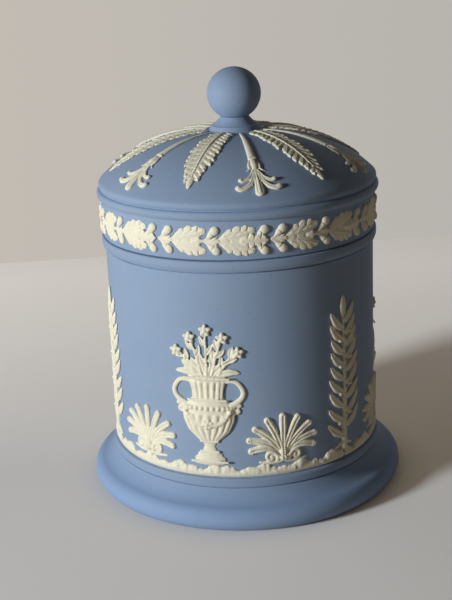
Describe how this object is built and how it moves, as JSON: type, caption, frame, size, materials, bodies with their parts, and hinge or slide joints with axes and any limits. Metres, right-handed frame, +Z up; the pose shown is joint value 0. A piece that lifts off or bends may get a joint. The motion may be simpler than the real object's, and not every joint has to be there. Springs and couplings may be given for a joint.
{
  "type": "tobacco jar",
  "caption": "Upright round stoneware tobacco jar with a rolled base, cream relief ornaments and a domed lift-off lid with an oak garland and a ball knob.",
  "frame": {"origin": "middle of the foot ring's flat underside, on the surface that the jar stands on", "axes": "+Z up along the jar's axis, the pictured side faces -Y, +X to the right of it"},
  "size_m": [0.1254, 0.1254, 0.1648],
  "materials": {
    "jar_blue": "matt unglazed blue stoneware",
    "lid_blue": "matt unglazed blue stoneware",
    "knob_blue": "matt unglazed blue stoneware",
    "wall_relief_cream": "matt unglazed cream relief",
    "lid_relief_cream": "matt unglazed cream relief",
    "seal_grey": "soft matt"
  },
  "bodies": {
    "jar": {"jar_body": "jar_blue", "ground_strip_1": "wall_relief_cream", "ground_strip_2": "wall_relief_cream", "ground_strip_3": "wall_relief_cream", "urn_1": "wall_relief_cream", "urn_2": "wall_relief_cream", "urn_3": "wall_relief_cream", "laurel_1": "wall_relief_cream", "laurel_2": "wall_relief_cream", "laurel_3": "wall_relief_cream", "palmette_1": "wall_relief_cream", "palmette_2": "wall_relief_cream", "palmette_3": "wall_relief_cream", "palmette_4": "wall_relief_cream", "palmette_5": "wall_relief_cream", "palmette_6": "wall_relief_cream"},
    "seal": {"seal_ring": "seal_grey"},
    "lid": {"lid_shell": "lid_blue", "knob_ball": "knob_blue", "dome_leaf_1": "lid_relief_cream", "dome_leaf_2": "lid_relief_cream", "dome_leaf_3": "lid_relief_cream", "dome_leaf_4": "lid_relief_cream", "dome_leaf_5": "lid_relief_cream", "dome_leaf_6": "lid_relief_cream", "dome_flower_1": "lid_relief_cream", "dome_flower_2": "lid_relief_cream", "dome_flower_3": "lid_relief_cream", "dome_flower_4": "lid_relief_cream", "dome_flower_5": "lid_relief_cream", "dome_flower_6": "lid_relief_cream", "oak_garland_1": "lid_relief_cream", "oak_garland_2": "lid_relief_cream", "oak_garland_3": "lid_relief_cream", "oak_garland_4": "lid_relief_cream", "oak_garland_5": "lid_relief_cream", "oak_garland_6": "lid_relief_cream", "oak_garland_7": "lid_relief_cream", "oak_garland_8": "lid_relief_cream"}
  },
  "joints": [
    {"name": "lid_lift", "type": "slide", "parent": "jar", "child": "seal", "axis": [0, 0, 1], "range_m": [0, 0.06]},
    {"name": "lid_turn", "type": "hinge", "parent": "seal", "child": "lid", "pos_m": [0, 0, 0.1028], "axis": [0, 0, 1], "continuous": true}
  ]
}
